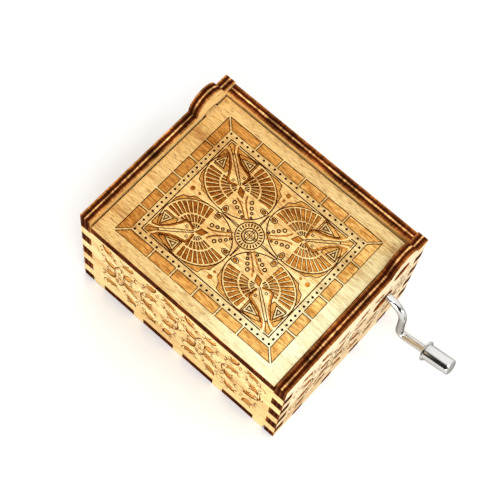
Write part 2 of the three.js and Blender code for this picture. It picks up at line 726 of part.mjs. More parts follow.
const cylinderGroup = new THREE.Group();
cylinderGroup.add(
  piece('pinned_cylinder', pinnedCylinder(), brass),
  piece('cylinder_filling', cylinderFilling(), resin),
  piece('front_cylinder_cap', cylinderCap(-1), brass),
  piece('back_cylinder_cap', cylinderCap(1), brass),
  piece('cylinder_arbor', arbor(), springSteel),
  piece('worm_wheel', wormWheel(), nylon),
);

const crankGroup = new THREE.Group();
crankGroup.add(
  piece('worm', worm(), brass),
  piece('crank_wire', crankWire(), nickel),
  piece('crank_clip', crankClip(), springSteel),
  piece('crank_knob', knob(), nickel),
);

const musicBox = new THREE.Group();
musicBox.add(caseGroup, frameGroup, cylinderGroup, crankGroup);

export default musicBox;
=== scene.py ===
"""Looks for the hand crank music box: engraved plywood, a nickel crank, and the comb movement."""

from math import cos, hypot, pi, radians, sin

import bmesh
import bpy
from mathutils import Matrix, Vector
from mathutils.geometry import delaunay_2d_cdt


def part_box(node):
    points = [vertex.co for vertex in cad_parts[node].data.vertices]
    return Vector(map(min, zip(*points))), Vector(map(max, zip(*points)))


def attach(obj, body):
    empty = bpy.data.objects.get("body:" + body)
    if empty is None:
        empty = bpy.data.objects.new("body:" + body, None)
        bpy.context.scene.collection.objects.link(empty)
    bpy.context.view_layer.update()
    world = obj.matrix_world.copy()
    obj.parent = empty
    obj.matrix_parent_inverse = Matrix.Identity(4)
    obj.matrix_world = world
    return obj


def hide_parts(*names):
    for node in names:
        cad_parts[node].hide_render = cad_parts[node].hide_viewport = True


MM = 0.001

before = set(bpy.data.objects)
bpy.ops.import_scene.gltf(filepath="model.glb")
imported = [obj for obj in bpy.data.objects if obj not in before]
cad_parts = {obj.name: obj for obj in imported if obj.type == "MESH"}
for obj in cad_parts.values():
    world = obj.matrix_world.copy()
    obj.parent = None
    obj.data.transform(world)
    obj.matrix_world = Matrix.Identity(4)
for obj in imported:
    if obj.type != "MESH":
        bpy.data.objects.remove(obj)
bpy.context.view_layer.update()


def in_scene(name, data):
    obj = bpy.data.objects.new(name, data)
    bpy.context.scene.collection.objects.link(obj)
    return obj


# ---- camera -------------------------------------------------------------------------------

CAMERA_LENS = 104.461
CAMERA_PLACE = (69.939, -113.985, 349.251)
CAMERA_TURN = (21.9397, -4.0011, 41.4524)


def make_camera():
    """The camera stands at a place in millimetres and is turned by angles in degrees."""
    data = bpy.data.cameras.new("camera")
    data.sensor_width = 36
    data.lens = CAMERA_LENS
    data.clip_start = 0.01
    data.clip_end = 10
    camera = in_scene("camera", data)
    camera.location = Vector(CAMERA_PLACE) * MM
    camera.rotation_euler = [radians(angle) for angle in CAMERA_TURN]
    bpy.context.scene.camera = camera


# ---- node materials -----------------------------------------------------------------------

class Nodes:
    """A short way to write the node tree of a material or of the world."""

    def __init__(self, name, library=bpy.data.materials, shader="Principled BSDF"):
        self.owner = library.new(name)
        self.owner.use_nodes = True
        self.tree = self.owner.node_tree
        self.shader = self.tree.nodes[shader]

    def add(self, kind, inputs=(), **settings):
        """A new node; a socket among its inputs is linked, anything else is a plain value."""
        node = self.tree.nodes.new(kind)
        for key, value in settings.items():
            setattr(node, key, value)
        for key, value in dict(inputs).items():
            self.put(node.inputs[key], value)
        return node

    def put(self, socket, value):
        if isinstance(value, bpy.types.NodeSocket):
            self.tree.links.new(value, socket)
        else:
            socket.default_value = value

    def shade(self, **inputs):
        for key, value in inputs.items():
            self.put(self.shader.inputs[key.replace("_", " ")], value)

    def math(self, operation, *values):
        node = self.add("ShaderNodeMath", operation=operation)
        for index, value in enumerate(values):
            self.put(node.inputs[index], value)
        return node.outputs[0]

    def mix(self, factor, a, b, blend="MIX"):
        node = self.add("ShaderNodeMix", data_type="RGBA", blend_type=blend)
        for index, value in ((0, factor), (6, a), (7, b)):
            self.put(node.inputs[index], value)
        return node.outputs[2]

    def times(self, a, b):
        return self.mix(1.0, a, b, "MULTIPLY")

    def sum(self, a, share_a, b, share_b):
        return self.math("ADD", self.math("MULTIPLY", a, share_a), self.math("MULTIPLY", b, share_b))

    def ramp(self, factor, *stops):
        node = self.add("ShaderNodeValToRGB", {"Fac": factor})
        elements = node.color_ramp.elements
        while len(elements) < len(stops):
            elements.new(0.5)
        for element, (place, color) in zip(elements, stops):
            element.position = place
            element.color = color
        return node.outputs["Color"]

    def coords(self, scale):
        source = self.add("ShaderNodeTexCoord").outputs["Object"]
        return self.add("ShaderNodeMapping", {"Vector": source, "Scale": scale}).outputs[0]

    def parts(self, vector):
        return self.add("ShaderNodeSeparateXYZ", {"Vector": vector}).outputs

    def noise(self, scale, detail, roughness=0.55):
        node = self.add("ShaderNodeTexNoise", {
            "Vector": self.coords(scale), "Scale": 1.0, "Detail": detail, "Roughness": roughness})
        return node.outputs["Fac"]

    def bump(self, height, strength, distance):
        node = self.add("ShaderNodeBump", {
            "Height": height, "Strength": strength, "Distance": distance})
        return node.outputs["Normal"]


def rgba(red, green, blue):
    return (red, green, blue, 1.0)


def grey(level):
    return rgba(level, level, level)


# The bare wood, from its lightest streaks to its pores.
WOOD_LIGHT = rgba(0.86, 0.72, 0.40)
WOOD_MEAN = rgba(0.74, 0.56, 0.245)
WOOD_DARK = rgba(0.52, 0.29, 0.075)
PORE = rgba(0.36, 0.17, 0.04)

# Tones multiply the wood's colours. The lid's tones change between its left and its right side:
# that change is painted light, darker and warmer on the left, lit and paled by painted sheen on the
# right.
LID_PAINTED_LIGHT_TONES = ((0.0, rgba(0.82, 0.63, 0.38)), (0.35, rgba(0.83, 0.67, 0.45)),
             (0.66, rgba(0.88, 0.79, 0.64)), (0.80, rgba(0.93, 0.92, 0.84)),
             (1.0, rgba(1.04, 1.24, 1.62)))
FILL_PAINTED_LIGHT_TONES = ((0.0, rgba(0.62, 0.43, 0.25)), (0.35, rgba(0.84, 0.68, 0.47)),
              (0.62, rgba(1.0, 0.92, 0.78)), (0.80, rgba(1.08, 1.09, 1.03)),
              (1.0, rgba(1.22, 1.36, 1.45)))
DEEP_PAINTED_LIGHT_TONES = ((0.0, rgba(0.60, 0.41, 0.24)), (0.35, rgba(0.78, 0.62, 0.43)),
              (0.55, rgba(1.15, 1.10, 0.95)), (0.72, rgba(1.55, 1.65, 1.7)),
              (1.0, rgba(1.6, 1.75, 1.9)))
LID_LEFT_X, LID_RIGHT_X = -0.030, 0.034
LID_LEAN = -0.5
LID_PAINTED_SHEEN = rgba(0.85, 0.84, 0.52)
# Painted light: the front board's tone is lighter than the plain tone.
FRONT_LIT_TONE = rgba(1.06, 0.935, 0.71)
# Painted sheen: the right board's tone is paler and less saturated than the plain tone.
RIGHT_SHEEN_TONE = rgba(0.93, 0.90, 1.0)
PLAIN_TONE = rgba(1.04, 0.88, 0.68)
# The back board's inner face gets a darker, warmer tone than the plain one.
BACK_INNER_TONE = rgba(0.97, 0.72, 0.45)

# Casts that tint a whole face on top of its tone.
BARE = rgba(1.0, 1.0, 1.0)
GROUND = rgba(1.17, 1.13, 1.06)

# The floors of engraved cuts: the least and the most scorched colour of each kind.
LID_CUTS = dict(fill=(rgba(0.76, 0.44, 0.14), rgba(0.44, 0.175, 0.03)),
                deep=(rgba(0.50, 0.19, 0.030), rgba(0.15, 0.038, 0.004)),
                line=(rgba(0.11, 0.027, 0.002), rgba(0.03, 0.005, 0.0005)))
WALL_CUTS = dict(fill=(rgba(0.64, 0.355, 0.105), rgba(0.33, 0.125, 0.022)),
                 deep=(rgba(0.42, 0.17, 0.040), rgba(0.17, 0.050, 0.009)),
                 line=(rgba(0.27, 0.090, 0.020), rgba(0.10, 0.026, 0.005)))
# Painted shade: the right board's cuts are darker than the other walls' cuts, as shade in their
# hollows.
RIGHT_SHADED_CUTS = dict(fill=(rgba(0.42, 0.20, 0.058), rgba(0.19, 0.066, 0.014)),
                  deep=(rgba(0.25, 0.095, 0.026), rgba(0.085, 0.026, 0.006)),
                  line=(rgba(0.15, 0.052, 0.014), rgba(0.055, 0.016, 0.004)))
DOT_CUT = (rgba(0.030, 0.008, 0.003), rgba(0.012, 0.003, 0.001))

# The boards' burnt edges. The outer ply starts at a share of half the board's thickness, and
# ON_END darkens the upright edges.
CHAR = rgba(0.046, 0.0075, 0.0012)
CHAR_LIGHT = rgba(0.18, 0.052, 0.011)
PLY_RIM = rgba(0.46, 0.20, 0.055)
PLY_HEART = rgba(0.74, 0.40, 0.15)
ON_END = rgba(0.62, 0.55, 0.58)
OUTER_PLY, LEFT_OUTER_PLY, LID_OUTER_PLY = 0.92, 0.78, 0.74
CHARRED_IOR = 1.05


def stretched(grain_axis, along, across):
    """Texture scales per metre: slow changes along the grain, quick ones across it."""
    scale = [across] * 3
    scale[grain_axis] = along
    return scale


def wood_figure(nodes, grain_axis):
    """Bare sanded veneer: broad bands, fine streaks and short dark pores."""
    bands = nodes.noise(stretched(grain_axis, 16, 170), detail=2)
    streaks = nodes.noise(stretched(grain_axis, 230, 2300), detail=5, roughness=0.8)
    flecks = nodes.noise(stretched(grain_axis, 460, 3200), detail=2)
    tone = nodes.sum(bands, 0.4, streaks, 0.6)
    color = nodes.ramp(tone, (0.40, WOOD_DARK), (0.48, WOOD_MEAN), (0.555, WOOD_LIGHT))
    pores = nodes.ramp(flecks, (0.56, grey(0)), (0.66, grey(0.7)))
    color = nodes.mix(pores, color, PORE)
    height = nodes.math("SUBTRACT", streaks, nodes.math("MULTIPLY", pores, 0.6))
    return color, height, tone


def toned(nodes, color, tones, lean=0.0, pale=None):
    """One tone for the whole board, or tones that change across the lid, and along it if they lean;
    on the lid that change is painted light, darker on the left and lit on the right. There the fine
    grain fades to the right, and the bare wood there comes near one pale colour, both painted sheen."""
    if isinstance(tones[0], float):
        return nodes.times(color, tones)
    place = nodes.parts(nodes.coords((1, 1, 1)))
    across = nodes.math("ADD", place["X"], nodes.math("MULTIPLY", place["Y"], lean))
    side = nodes.add("ShaderNodeMapRange", {
        "Value": across, "From Min": LID_LEFT_X, "From Max": LID_RIGHT_X}).outputs[0]
    color = nodes.times(color, nodes.ramp(side, *tones))
    fine = nodes.noise((620, 3300, 620), detail=3, roughness=0.7)
    grain = nodes.ramp(fine, (0.38, rgba(0.78, 0.70, 0.60)), (0.5, grey(1.0)),
                       (0.62, rgba(1.08, 1.12, 1.2)))
    # painted sheen: the fine grain's contrast fades towards the lid's right side
    amount = nodes.ramp(side, (0.45, grey(1.0)), (0.85, grey(0.3)))
    color = nodes.mix(amount, color, nodes.times(color, grain))
    # painted sheen: on the right the bare wood is mixed towards one pale colour
    if pale is None:
        return color
    return nodes.mix(nodes.ramp(side, (0.72, grey(0)), (0.95, grey(0.5))), color, pale)


def face_material(name, grain_axis, tones, cast=BARE):
    """A board's sanded face; the cast tints it all over."""
    nodes = Nodes(name)
    color, height, _ = wood_figure(nodes, grain_axis)
    color = nodes.times(toned(nodes, color, tones, LID_LEAN, LID_PAINTED_SHEEN), cast)
    roughness = nodes.math("ADD", nodes.math("MULTIPLY", height, 0.2), 0.42)
    nodes.shade(Base_Color=color, Roughness=roughness, Specular_IOR_Level=0.4,
                Normal=nodes.bump(height, 0.5, 0.00012))
    return nodes.owner


def edge_material(node, thickness_axis, rim=OUTER_PLY):
    """A laser-cut edge: burnt plies, with fine marks across the board's thickness. The light rim
    and heart show on edges that face up or down; the others are darker all over."""
    low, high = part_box(node)
    centre = (low[thickness_axis] + high[thickness_axis]) / 2
    half_thickness = (high[thickness_axis] - low[thickness_axis]) / 2
    nodes = Nodes(node + "_edge")
    place = nodes.parts(nodes.coords((1, 1, 1)))
    offset = nodes.math("SUBTRACT", place[thickness_axis], centre)
    depth = nodes.math("DIVIDE", nodes.math("ABSOLUTE", offset), half_thickness)
    wander = nodes.noise((420, 420, 420), detail=4)
    depth = nodes.math("ADD", depth, nodes.math("MULTIPLY", nodes.math("SUBTRACT", wander, 0.5), 0.3))
    plies = nodes.ramp(depth, (0.0, CHAR_LIGHT), (0.2, CHAR), (0.56, CHAR), (0.72, CHAR_LIGHT))
    outer = nodes.ramp(depth, (rim - 0.04, grey(0.0)), (rim + 0.06, grey(1.0)))
    heart = nodes.ramp(depth, (0.0, grey(1.0)), (0.08, grey(0.8)), (0.17, grey(0.0)))
    breaks = nodes.noise((130, 130, 130), detail=5, roughness=0.7)
    heart = nodes.math("MULTIPLY", heart, nodes.ramp(breaks, (0.36, grey(0.25)), (0.52, grey(1.0))))
    normal = nodes.add("ShaderNodeTexCoord").outputs["Normal"]
    upward = nodes.math("ABSOLUTE", nodes.parts(normal)["Z"])
    plies = nodes.mix(nodes.math("MULTIPLY", heart, upward), plies, PLY_HEART)
    plies = nodes.mix(nodes.math("MULTIPLY", outer, upward), plies, PLY_RIM)
    marks = nodes.noise(stretched(thickness_axis, 350, 2200), detail=4, roughness=0.7)
    soot = nodes.noise((160, 160, 160), detail=4, roughness=0.6)
    mixed = nodes.sum(marks, 0.5, soot, 0.5)
    burn = nodes.ramp(mixed, (0.38, grey(0.3)), (0.5, grey(1.0)), (0.62, grey(2.4)))
    plies = nodes.times(plies, burn)
    plies = nodes.mix(upward, nodes.times(plies, ON_END), plies)
    nodes.shade(Base_Color=plies, Roughness=0.8, IOR=CHARRED_IOR,
                Normal=nodes.bump(marks, 0.6, 0.00015))
    return nodes.owner


def engraved_material(name, grain_axis, tones, top, bottom):
    """The floor of an engraved cut: scorched veneer in which the grain still shows."""
    nodes = Nodes(name)
    _, height, tone = wood_figure(nodes, grain_axis)
    cloud = nodes.noise((600, 600, 600), detail=5, roughness=0.7)
    mixed = nodes.sum(tone, 0.65, cloud, 0.35)
    color = toned(nodes, nodes.ramp(mixed, (0.41, bottom), (0.53, top)), tones)
    scan = nodes.noise(stretched(grain_axis, 420, 2600), detail=2)
    scorch = nodes.ramp(scan, (0.36, rgba(0.66, 0.58, 0.5)), (0.5, grey(0.98)),
                        (0.64, rgba(1.2, 1.28, 1.4)))
    color = nodes.times(color, scorch)
    height = nodes.math("ADD", height, nodes.math("MULTIPLY", scan, 0.8))
    nodes.shade(Base_Color=color, Roughness=0.8, IOR=CHARRED_IOR,
                Normal=nodes.bump(height, 0.5, 0.0001))
    return nodes.owner


def metal_material(name, color, roughness, marks, marks_scale, stretch=(1, 1, 1), grazing=1.0):
    """Metal with faint handling marks in its gloss; grazing is how bright it is seen flat along.
    Below 1 that is painted shade: the metal's sides seen flat along are darkened.
    """
    nodes = Nodes(name)
    scale = [marks_scale * share for share in stretch]
    marks_noise = nodes.noise(scale, detail=5, roughness=0.65)
    cloud = nodes.noise((160, 160, 160), detail=2)
    tone = nodes.ramp(cloud, (0.3, rgba(*[c * 0.9 for c in color])), (0.7, rgba(*color)))
    rough = nodes.math("ADD", nodes.math("MULTIPLY", marks_noise, marks * 2), roughness - marks)
    nodes.shade(Base_Color=tone, Metallic=1.0, Roughness=rough, Specular_Tint=grey(grazing),
                Normal=nodes.bump(marks_noise, 0.15, 0.00002))
    return nodes.owner


def plastic_material(name, light, dark, roughness, bump=0.1):
    nodes = Nodes(name)
    cloud = nodes.noise((500, 500, 500), detail=4)
    color = nodes.ramp(cloud, (0.35, dark), (0.65, light))
    nodes.shade(Base_Color=color, Roughness=roughness, Normal=nodes.bump(cloud, bump, 0.00005))
    return nodes.owner


# ---- flat shapes, in millimetres ----------------------------------------------------------

def area(polygon):
    return sum(a.x * b.y - b.x * a.y for a, b in zip(polygon, polygon[1:] + polygon[:1])) / 2


def anticlockwise(points):
    polygon = [Vector(p) for p in points]
    return polygon if area(polygon) > 0 else polygon[::-1]


def full_turn(steps):
    """The angles of even steps round a circle."""
    return [2 * pi * k / steps for k in range(steps)]


def ellipse(x, y, radius_x, radius_y=None, sides=16):
    radius_y = radius_x if radius_y is None else radius_y
    return [Vector((x + radius_x * cos(2 * pi * (k + 0.5) / sides),
                    y + radius_y * sin(2 * pi * (k + 0.5) / sides))) for k in range(sides)]


def offset_left(loop, distance):
    """Moves every side of a loop to its left by a distance."""
    moved = []
    for index, corner in enumerate(loop):
        before = (corner - loop[index - 1]).normalized()
        after = (loop[(index + 1) % len(loop)] - corner).normalized()
        normals = Vector((-before.y - after.y, before.x + after.x))
        moved.append(corner + normals * (distance / max(0.25, 1 + before.dot(after))))
    return moved


def stroke(points, start_width, end_width=None):
    """A band along a line of points; its width changes evenly from start to end."""
    end_width = start_width if end_width is None else end_width
    points = [Vector(p) for p in points]
    left, right = [], []
    last = len(points) - 1
    for index, point in enumerate(points):
        heading = (points[min(index + 1, last)] - points[max(index - 1, 0)]).normalized()
        half = (start_width + (end_width - start_width) * index / last) / 2
        side = Vector((-heading.y, heading.x)) * half
        left.append(point + side)
        right.append(point - side)
    return anticlockwise(right + left[::-1])


def arc(x, y, radius, start, end, steps):
    """Points along an arc, in degrees."""
    turns = [radians(start + (end - start) * k / steps) for k in range(steps + 1)]
    return [(x + radius * cos(t), y + radius * sin(t)) for t in turns]


class Drawing:
    """Flat shapes in painter's order, each of one of the KINDS of the engraved boards."""

    def __init__(self, at=(0, 0), ground="plain"):
        self.at = Vector(at)
        self.ground = ground
        self.shapes = []

    def add(self, kind, polygon):
        self.shapes.append((kind, [self.at + p for p in anticlockwise(polygon)]))

    def outlined(self, polygon, width, inside="fill"):
        """A shape with a burnt outline round a fill; one too small for that is burnt all over."""
        polygon = anticlockwise(polygon)
        self.add("line", polygon)
        inner = offset_left(polygon, width)
        if area(inner) > 0.25 * area(polygon):
            self.add(inside, inner)

    def ring(self, x, y, radius_x, radius_y=None, width=0.2, inside=None, sides=16):
        radius_y = radius_x if radius_y is None else radius_y
        self.add("line", ellipse(x, y, radius_x, radius_y, sides))
        self.add(inside or self.ground, ellipse(x, y, radius_x - width, radius_y - width, sides))

    def mirrored(self, source, flip_x, flip_y):
        """Takes over another drawing's shapes, mirrored."""
        sign = Vector((-1 if flip_x else 1, -1 if flip_y else 1))
        for kind, polygon in source.shapes:
            self.add(kind, [(p.x * sign.x, p.y * sign.y) for p in polygon])

    def four_ways(self, source):
        for flip_x in (False, True):
            for flip_y in (False, True):
                self.mirrored(source, flip_x, flip_y)


# ---- lid ornament -------------------------------------------------------------------------

BORDER_OUTER = (24.4, 20.45)
BORDER_INNER = (21.6, 17.65)
PETAL_CENTRE = (10.0, 8.0)
PETAL_RADII = (9.7, 7.75)


def border_cells(drawing):
    """A ring of shallow cells with mitred corners."""
    outer_x, outer_y = BORDER_OUTER
    inner_x, inner_y = BORDER_INNER
    gap = 0.19
    across = [-outer_x, -13.85, -6.95, 0, 6.95, 13.85, outer_x]
    upward = [-outer_y, -11.6, -5.8, 0, 5.8, 11.6, outer_y]
    mitre = gap * 1.3
    for cuts, swap, near, far in ((across, False, inner_y, outer_y), (upward, True, inner_x, outer_x)):
        inner_end = inner_y if swap else inner_x
        last = len(cuts) - 2
        for index, (low, high) in enumerate(zip(cuts, cuts[1:])):
            a = -inner_end + mitre if index == 0 else low + gap
            b = inner_end - mitre if index == last else high - gap
            c = cuts[-1] - mitre if index == last else b
            d = cuts[0] + mitre if index == 0 else a
            for sign in (-1, 1):
                corners = [(a, sign * near), (b, sign * near), (c, sign * far), (d, sign * far)]
                if swap:
                    corners = [(y, x) for x, y in corners]
                drawing.outlined(corners, 0.2)


def dot_row(drawing, half_x, half_y, count_x, count_y, radius):
    """Dots along the four sides of a rectangle."""
    for k in range(count_x):
        x = half_x * (2 * k / (count_x - 1) - 1)
        for y in (-half_y, half_y):
            drawing.add("dot", ellipse(x, y, radius, sides=8))
    for k in range(1, count_y - 1):
        y = half_y * (2 * k / (count_y - 1) - 1)
        for x in (-half_x, half_x):
            drawing.add("dot", ellipse(x, y, radius, sides=8))


def petal_point(reach, turn):
    """The point at a share of the petal's radii and at a turn in degrees."""
    return (PETAL_CENTRE[0] + PETAL_RADII[0] * reach * cos(radians(turn)),
            PETAL_CENTRE[1] + PETAL_RADII[1] * reach * sin(radians(turn)))


def fan(drawing, start, end, near, far, blades, share):
    """A ring of wedges about the petal's centre, between two shares of its radii."""
    for k in range(blades):
        middle = start + (end - start) * (k + 0.5) / blades
        half = (end - start) / blades * share / 2
        corners = [petal_point(near, turn) for turn in (middle - half, middle + half)]
        corners += [petal_point(far, turn) for turn in (middle + half, middle, middle - half)]
        drawing.outlined(corners, 0.15, "deep")


def nested_triangle(drawing, corners):
    triangle = anticlockwise(corners)
    for step, kind in ((0.0, "line"), (0.26, "plain"), (0.56, "line"), (0.84, "plain")):
        polygon = offset_left(triangle, step)
        if area(polygon) > 0.05:
            drawing.add(kind, polygon)


def lid_corner_fillers():
    """Fills in the corners and between the petals, under everything else."""
    quarter = Drawing()
    quarter.outlined([(11.0, 15.5), (19.4, 15.5), (19.4, 9.2), (12, 9.2)], 0.2)
    quarter.outlined([(0.4, 9.3), (0.9, 11.4), (1.1, 12.9), (2.3, 13.6), (2.9, 15.2), (4.4, 15.5),
                      (8.5, 15.5), (8.5, 13), (2, 9)], 0.2)
    quarter.outlined([(12.4, 0.4), (14.8, 0.9), (16.4, 1.1), (17.2, 2.2), (18.6, 2.7), (19.4, 4.6),
                      (19.4, 9), (12, 2)], 0.2)
    return quarter


def lid_petal():
    """One petal with its two fans, triangles, rows of rings and a bud along the diagonal."""
    quarter = Drawing(ground="ground")
    quarter.ring(*PETAL_CENTRE, *PETAL_RADII, 0.31, sides=72)
    for start, end in ((92, 178), (-88, -2)):
        rim = [petal_point(0.97, start + (end - start) * k / 12) for k in range(13)]
        quarter.add("ground", [PETAL_CENTRE] + rim)
        fan(quarter, start, end, 0.57, 0.93, 9, 0.76)
        fan(quarter, start, end, 0.29, 0.52, 7, 0.74)
        fan(quarter, start, end, 0.12, 0.25, 5, 0.66)
    quarter.outlined([(15.0, 8.3), (18.9, 8.3), (19.0, 11.0), (17.6, 13.4), (14.6, 10.4)], 0.2)
    quarter.outlined([(10.4, 11.9), (10.4, 15.4), (13.6, 15.2), (16.2, 14.4), (13.2, 12.3)], 0.2)
    nested_triangle(quarter, [(15.9, 8.7), (19.2, 8.7), (17.6, 12.4)])
    nested_triangle(quarter, [(10.8, 12.1), (10.8, 15.3), (14.9, 13.7)])

    root, head = Vector((3.3, 2.65)), Vector((19.3, 15.25))
    along = (head - root).normalized()
    side = Vector((-along.y, along.x))

    def both_sides(kind, points, start_width, end_width=None):
        for sign in (-1, 1):
            line = [root + along * s + side * (sign * t) for s, t in points]
            quarter.add(kind, stroke(line, start_width, end_width))

    for sign in (-1, 1):
        bud = [(8.7, 0.5), (9.8, 2.4), (10.8, 3.0), (12.4, 2.2), (14.6, 1.3), (17.0, 0.95),
               (19.4, 1.9), (19.9, 1.3), (17.6, 0.3), (9.4, 0.2)]
        quarter.add("ground", [root + along * s + side * (sign * t) for s, t in bud])
    both_sides("deep", [(9.0, 0.6), (9.9, 2.1), (10.9, 2.6), (12.4, 1.9), (14.6, 1.15), (17.0, 0.9),
                        (19.0, 1.5)], 0.75, 0.4)
    both_sides("line", [(8.9, 0.6), (9.9, 2.4), (10.9, 2.95), (12.4, 2.2), (14.6, 1.45), (17.0, 1.1)],
               0.26, 0.22)
    both_sides("line", [(8.8, 0.18), (13.0, 0.36), (18.0, 0.30), (19.6, 0.5)], 0.24, 0.2)
    both_sides("deep", [(5.9, 1.3), (4.6, 0.72), (3.0, 0.5), (1.0, 0.45), (-0.4, 0.5)], 0.5, 0.3)
    heart = root + along * 7.1
    quarter.outlined([heart - along * 1.7, heart + side * 0.95, heart + along * 1.7,
                      heart - side * 0.95], 0.2, "deep")
    for sign in (-1, 1):
        place = root + along * 10.6 + side * (sign * 1.3)
        quarter.ring(place.x, place.y, 0.5, width=0.26, sides=4)
    for x, y, radius in ((5.2, 6.7, 0.62), (4.25, 5.6, 0.56), (3.4, 4.6, 0.5), (2.8, 3.65, 0.42),
                         (8.3, 4.05, 0.62), (7.0, 3.5, 0.56), (5.75, 3.0, 0.5), (4.6, 2.45, 0.42)):
        quarter.ring(x, y, radius, width=0.34, sides=8)
    return quarter


def lid_medallion(drawing):
    """Rays along the axes, scrolls, and a ticked wheel in the middle."""
    for sign in (-1, 1):
        drawing.add("line", stroke([(-8.6, sign * 0.05), (0, sign * 0.36), (8.6, sign * 0.05)], 0.26))
        drawing.add("line", stroke([(sign * 0.05, -7.0), (sign * 0.36, 0), (sign * 0.05, 7.0)], 0.26))
    for x, y, tall in ((1.5, 6.9, 0.0), (8.8, 1.2, 0.35)):
        for sign_x in (-1, 1):
            for sign_y in (-1, 1):
                place = (sign_x * x, sign_y * y)
                drawing.ring(*place, 1.15 - tall, 0.78 + tall, 0.24)
                drawing.ring(*place, 0.68 - tall / 2, 0.48 + tall / 2, 0.22, "deep", 10)
    drawing.ring(0, 0, 3.65, width=0.3, sides=48)
    for turn in full_turn(24):
        ends = [(r * cos(turn), r * sin(turn)) for r in (2.3, 3.15)]
        drawing.add("line", stroke(ends, 0.28, 0.42))
    drawing.ring(0, 0, 2.1, width=0.32, sides=32)
    drawing.ring(0, 0, 1.4, width=0.26, sides=24)
    for k in range(4):
        turn = pi / 2 * k
        for sign in (-1, 1):
            ends = [(r * cos(turn) - sign * 0.22 * sin(turn), r * sin(turn) + sign * 0.22 * cos(turn))
                    for r in (0.22, 1.85)]
            drawing.add("line", stroke(ends, 0.2))
    drawing.add("deep", ellipse(0, 0, 0.3, sides=8))


def lid_ornament(centre):
    """A border of cells, a row of dots, and four petals round a medallion."""
    drawing = Drawing(centre, ground="ground")
    border_cells(drawing)
    dot_row(drawing, 20.9, 17.0, 25, 23, 0.34)
    drawing.outlined([(-19.95, -16), (19.95, -16), (19.95, 16), (-19.95, 16)], 0.3, "ground")
    drawing.four_ways(lid_corner_fillers())
    drawing.four_ways(lid_petal())
    for x, y in ((0, 14.0), (0, -14.0), (18.0, 0), (-18.0, 0)):
        drawing.add("deep", ellipse(x, y, 0.65, sides=10))
        drawing.add("deep", ellipse(x * 0.88, y * 0.88, 0.4, sides=8))
    lid_medallion(drawing)
    return drawing


# ---- wall ornament ------------------------------------------------------------------------

TILE = 13.1
LEAF_REACH = TILE / 4
TILES_MIDDLE = 19.1


def leaf_shapes():
    """A comma-shaped leaf about the origin: its body, a line along each side, two curls and two
    short strokes."""
    body_left, body_right = [], []
    widths = [0.5, 1.5, 2.2, 2.45, 2.3, 1.85, 1.3, 0.75, 0.25]
    for width, point in zip(widths, arc(0, 0, 2.4, -18, 88, 8)):
        outward = Vector(point).normalized()
        body_left.append(Vector(point) + outward * width * 0.5)
        body_right.append(Vector(point) - outward * width * 0.45)
    body = anticlockwise(body_left + body_right[::-1])
    shapes = [
        ("deep", body),
        ("fill", offset_left(body, 0.22)),
        ("line", stroke(arc(0, 0, 3.55, -14, 108, 12), 0.55, 0.14)),
        ("deep", stroke(arc(0, 0, 1.1, 100, -10, 8), 0.14, 0.5)),
        ("deep", stroke(arc(-1.3, 3.7, 1.4, -60, 120, 8), 0.55, 0.2)),
        ("deep", stroke(arc(2.4, -2.0, 1.5, 20, 170, 8), 0.2, 0.5)),
        ("deep", stroke([(3.5, 2.6), (4.3, 3.7)], 0.2, 0.6)),
        ("deep", stroke([(4.2, 1.2), (4.6, 2.4)], 0.55, 0.2)),
    ]
    middle = Vector((1.7, 1.3))
    return [(kind, [p - middle for p in polygon]) for kind, polygon in shapes]


def leaf(drawing, x, y, turn, hand):
    spin = Matrix.Rotation(radians(turn), 2)
    for kind, polygon in leaf_shapes():
        placed = [spin @ Vector((p.x * hand, p.y)) + Vector((x, y)) for p in polygon]
        drawing.add(kind, placed)


def ring_tile(drawing, x, y):
    """Two arcs that swell towards their middles."""
    for start in (-52, 128):
        drawing.add("line", stroke(arc(x, y, 6.1, start, start + 52, 8), 0.12, 0.5))
        drawing.add("line", stroke(arc(x, y, 6.1, start + 104, start + 52, 8), 0.12, 0.5))


def diamond_tile(drawing, x, y):
    for sign in (-1, 1):
        for side in (-1, 1):
            points = [(x, y + sign * 5.9), (x + side * 1.2, y + sign * 3.9),
                      (x + side * 2.9, y + sign * 2.3)]
            drawing.add("line", stroke(points, 0.45, 0.14))
    for dx, dy in ((1.5, 0), (-1.5, 0), (0, 1.5), (0, -1.5)):
        drawing.outlined(ellipse(x + dx, y + dy, 0.6, sides=4), 0.16)
    drawing.outlined(ellipse(x, y, 0.75, sides=4), 0.18, "plain")


def wall_ornament(first_tile, tiles, first_is_ring, low, high, left, right, keep_out=()):
    """Tiles of leaves, with rings and diamonds by turns, kept between the given edges."""
    marks = Drawing()
    for k in range(tiles):
        x = first_tile + TILE * k
        is_ring = (k % 2 == 0) == first_is_ring
        (ring_tile if is_ring else diamond_tile)(marks, x, TILES_MIDDLE)
        for row in (-1, 0, 1):
            hand = 1 if is_ring == (row == 0) else -1
            for quarter in range(4):
                toward = Matrix.Rotation(pi / 2 * quarter, 2) @ Vector((LEAF_REACH, LEAF_REACH))
                leaf(marks, x + toward.x, TILES_MIDDLE + row * TILE + toward.y, 90 * quarter, hand)
    drawing = Drawing()
    for kind, polygon in marks.shapes:
        inside = all(left < p.x < right and low < p.y < high for p in polygon)
        clear = all(hypot(p.x - x, p.y - y) > r for p in polygon for x, y, r in keep_out)
        if inside and clear:
            drawing.shapes.append((kind, polygon))
    return drawing


# ---- engraved boards ----------------------------------------------------------------------

# Every kind has a depth in millimetres and a material slot. After them come the slots of the
# cut sides and of the inner face.
KINDS = ("plain", "ground", "fill", "deep", "line", "dot")
LEVEL_DEPTHS = (0.0, 0.0, 0.1, 0.15, 0.22, 0.3)
CHAMFER = 0.1
LINE_SLOT = KINDS.index("line")
EDGE_SLOT = len(KINDS)
INNER_SLOT = EDGE_SLOT + 1


